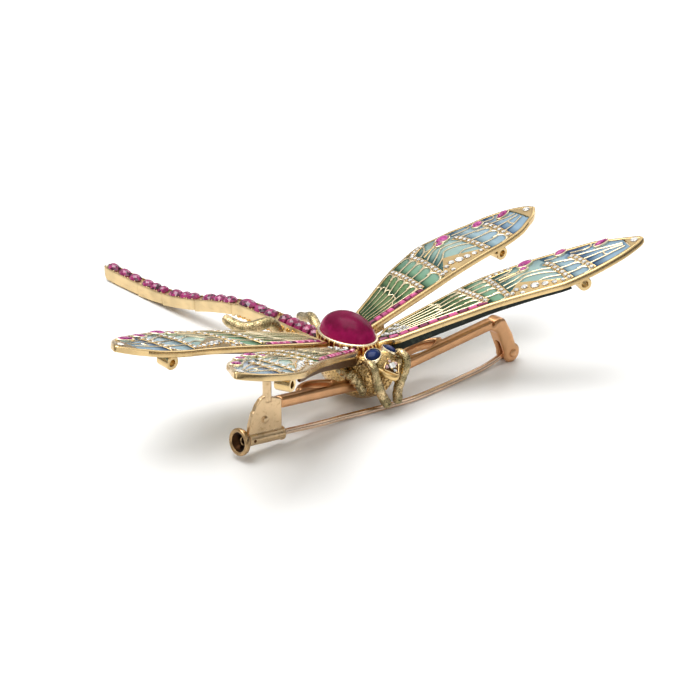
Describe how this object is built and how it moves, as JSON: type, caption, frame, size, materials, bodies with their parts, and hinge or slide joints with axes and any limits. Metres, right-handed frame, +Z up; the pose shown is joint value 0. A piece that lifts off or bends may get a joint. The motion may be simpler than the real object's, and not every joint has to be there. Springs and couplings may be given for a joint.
{
  "type": "dragonfly brooch",
  "caption": "Dragonfly brooch in gold with enamelled wings, a domed ruby body, a long jewelled tail, a hinged pin stem and a sliding tube catch.",
  "frame": {"origin": "on the surface that the brooch lies on, below the centre of its box", "axes": "+X across the wings, +Y towards the tail, +Z up from the surface"},
  "size_m": [0.1052, 0.106, 0.0284],
  "materials": {
    "yellow_gold": "polished 18 ct yellow gold",
    "rose_gold": "polished rose gold",
    "enamel": "translucent green to blue enamel",
    "calibre_ruby": "step-cut pink ruby",
    "diamond": "cut diamond",
    "ruby": "polished cabochon",
    "sapphire": "polished blue sapphire",
    "pink_stone": "faceted pink stone"
  },
  "bodies": {
    "brooch": {"thorax": "yellow_gold", "head": "yellow_gold", "eye_left": "sapphire", "eye_right": "sapphire", "face_diamond": "diamond", "ruby": "ruby", "ruby_bezel": "yellow_gold", "abdomen": "yellow_gold", "abdomen_stones": "pink_stone", "abdomen_calibre": "calibre_ruby", "wing_fore_left": "yellow_gold", "wing_fore_right": "yellow_gold", "wing_hind_left": "yellow_gold", "wing_hind_right": "yellow_gold", "enamel_fore_left": "enamel", "enamel_fore_right": "enamel", "enamel_hind_left": "enamel", "enamel_hind_right": "enamel", "calibre_fore_left": "calibre_ruby", "calibre_fore_right": "calibre_ruby", "calibre_hind_left": "calibre_ruby", "calibre_hind_right": "calibre_ruby", "diamonds_fore_left": "diamond", "diamonds_fore_right": "diamond", "diamonds_hind_left": "diamond", "diamonds_hind_right": "diamond", "wing_pink_stones": "pink_stone", "leg_front_left": "yellow_gold", "leg_front_right": "yellow_gold", "leg_mid_left": "yellow_gold", "leg_mid_right": "yellow_gold", "leg_rear_left": "yellow_gold", "leg_rear_right": "yellow_gold", "brooch_bar": "rose_gold", "catch_bracket": "yellow_gold", "hinge_rivet": "rose_gold"},
    "pin": {"pin_stem": "rose_gold"},
    "catch": {"catch_slide": "yellow_gold"}
  },
  "joints": [
    {"name": "pin_hinge", "type": "hinge", "parent": "brooch", "child": "pin", "pos_m": [0.0335, -0.03299, 0.0019], "axis": [0, -1, 0], "range_deg": [0, 70]},
    {"name": "catch_slide", "type": "slide", "parent": "brooch", "child": "catch", "axis": [-0.9932, 0, 0.1167], "range_m": [0, 0.0035]}
  ]
}
